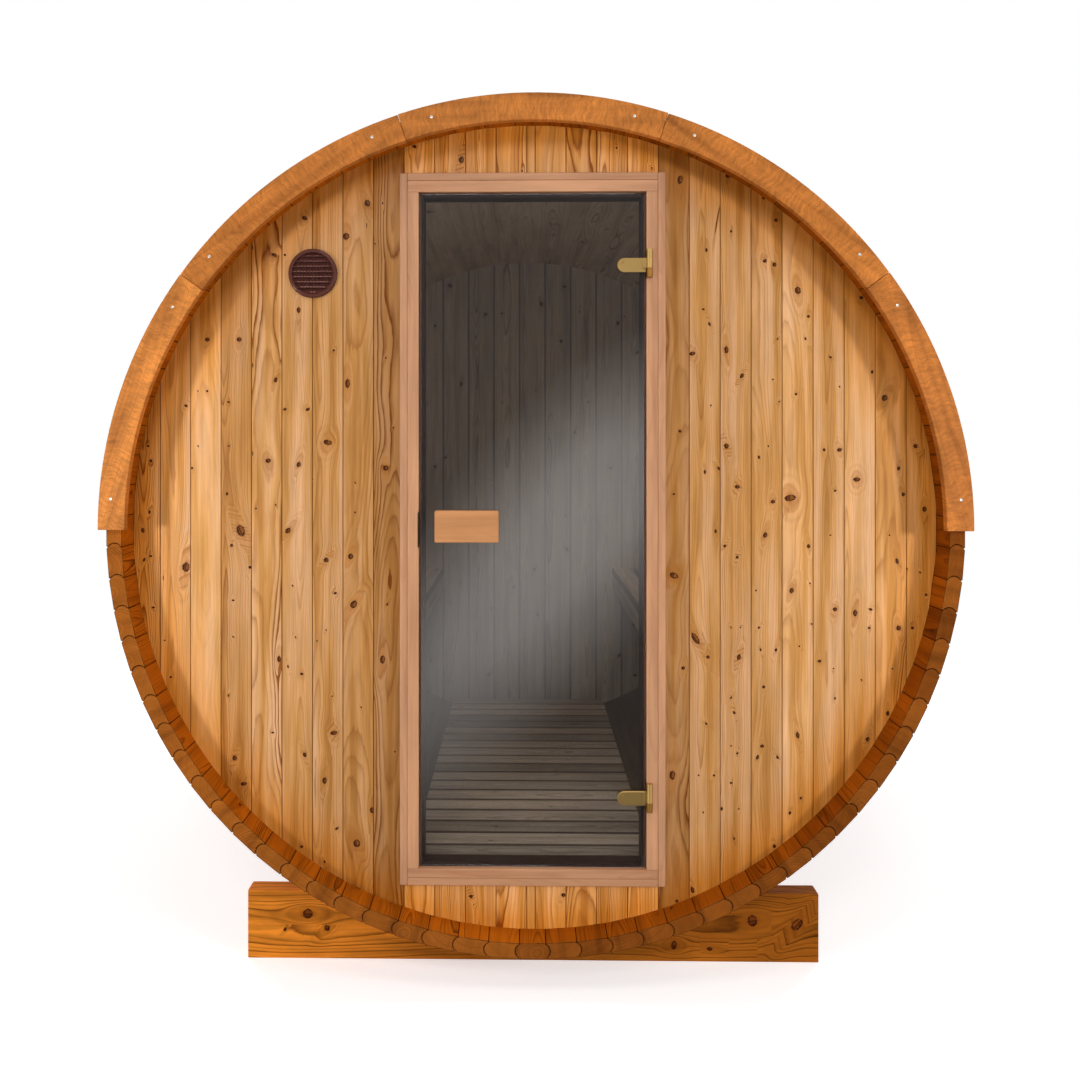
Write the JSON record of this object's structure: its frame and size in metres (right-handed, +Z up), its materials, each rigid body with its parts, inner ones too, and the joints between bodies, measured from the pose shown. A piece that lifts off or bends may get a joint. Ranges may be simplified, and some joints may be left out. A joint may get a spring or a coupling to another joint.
{
  "type": "barrel sauna",
  "caption": "Round timber barrel sauna on two cradles, with boarded end walls, a hinged tinted glass door, a round vent, benches and a duckboard floor.",
  "frame": {"origin": "on the ground, under the middle of the barrel", "axes": "+Z up; the barrel's axis runs along Y with the door at the -Y end; +X to the right as seen from in front of the door"},
  "size_m": [2.288, 2.45, 2.377],
  "materials": {
    "stave_timber": "stained softwood, satin",
    "wall_timber": "clear-finished knotty spruce",
    "trim_timber": "orange-brown stained pine",
    "cradle_timber": "brown stained pine",
    "joinery_timber": "smooth planed hardwood",
    "bench_timber": "bare planed timber",
    "tinted_glass": "grey-bronze tinted toughened glass",
    "satin_brass": "satin brass",
    "hoop_steel": "bright stainless band",
    "catch_metal": "dark oxidised",
    "vent_plastic": "dark brown gloss"
  },
  "bodies": {
    "sauna": {"back_wall": "wall_timber", "bench_bearers_left": "bench_timber", "bench_bearers_right": "bench_timber", "bench_fascia_left": "bench_timber", "bench_fascia_right": "bench_timber", "bench_slats_left": "bench_timber", "bench_slats_right": "bench_timber", "cradle_back": "cradle_timber", "cradle_front": "cradle_timber", "door_casing": "joinery_timber", "door_frame_head": "joinery_timber", "door_frame_left": "joinery_timber", "door_frame_right": "joinery_timber", "door_frame_sill": "joinery_timber", "door_stop": "joinery_timber", "floor_bearers": "bench_timber", "floor_slats": "bench_timber", "front_wall_left": "wall_timber", "front_wall_over_door": "wall_timber", "front_wall_right": "wall_timber", "front_wall_under_door": "wall_timber", "hinge_lower_frame": "satin_brass", "hinge_upper_frame": "satin_brass", "hoop_tensioners": "hoop_steel", "hoops": "hoop_steel", "roller_catch": "catch_metal", "stave_bottom": "stave_timber", "stave_top": "stave_timber", "staves_left_lower_side": "stave_timber", "staves_left_roof": "stave_timber", "staves_left_underside": "stave_timber", "staves_left_upper_side": "stave_timber", "staves_right_lower_side": "stave_timber", "staves_right_roof": "stave_timber", "staves_right_underside": "stave_timber", "staves_right_upper_side": "stave_timber", "trim_back": "trim_timber", "trim_front": "trim_timber", "vent": "vent_plastic"},
    "door": {"door_glass": "tinted_glass", "handle_inside": "joinery_timber", "handle_outside": "joinery_timber", "hinge_lower_clamp": "satin_brass", "hinge_upper_clamp": "satin_brass"}
  },
  "joints": [
    {"name": "door_hinge", "type": "hinge", "parent": "sauna", "child": "door", "pos_m": [0.315, -1.1345, 1.233], "axis": [0, 0, 1], "range_deg": [0, 110]}
  ]
}
